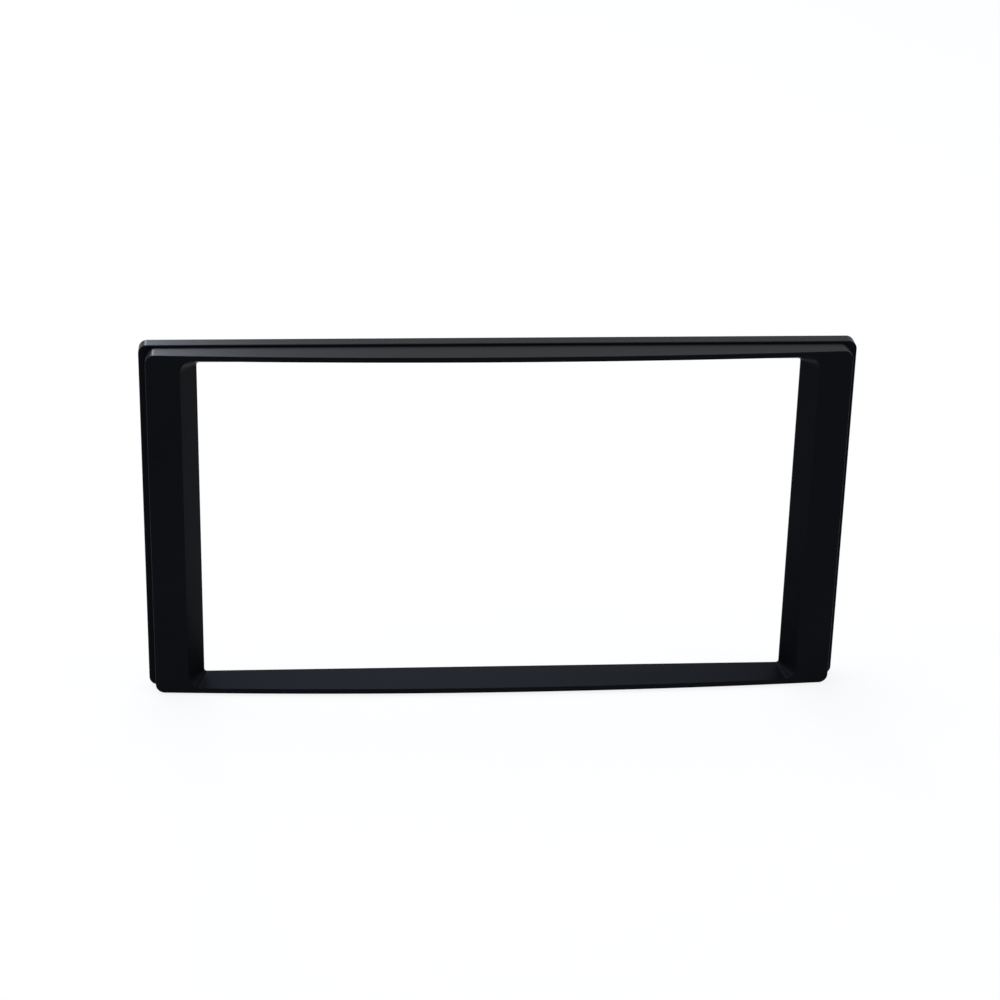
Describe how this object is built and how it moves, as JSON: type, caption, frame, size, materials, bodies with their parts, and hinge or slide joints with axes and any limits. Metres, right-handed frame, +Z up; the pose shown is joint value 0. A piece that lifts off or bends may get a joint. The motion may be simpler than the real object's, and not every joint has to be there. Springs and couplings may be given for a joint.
{
  "type": "car radio mounting frame",
  "caption": "Moulded plastic frame with a bowed front, a bevelled opening for a double-height car radio and a stepped flange behind.",
  "frame": {"origin": "centre of the frame's own box, in the middle of the radio opening", "axes": "+Y from the front face to the back of the flange, +Z up as fitted, +X to the right seen from the front"},
  "size_m": [0.2058, 0.0144, 0.1084],
  "materials": {
    "frame_plastic": "satin black moulded ABS"
  },
  "bodies": {
    "root": {"radio_frame": "frame_plastic"}
  },
  "joints": []
}
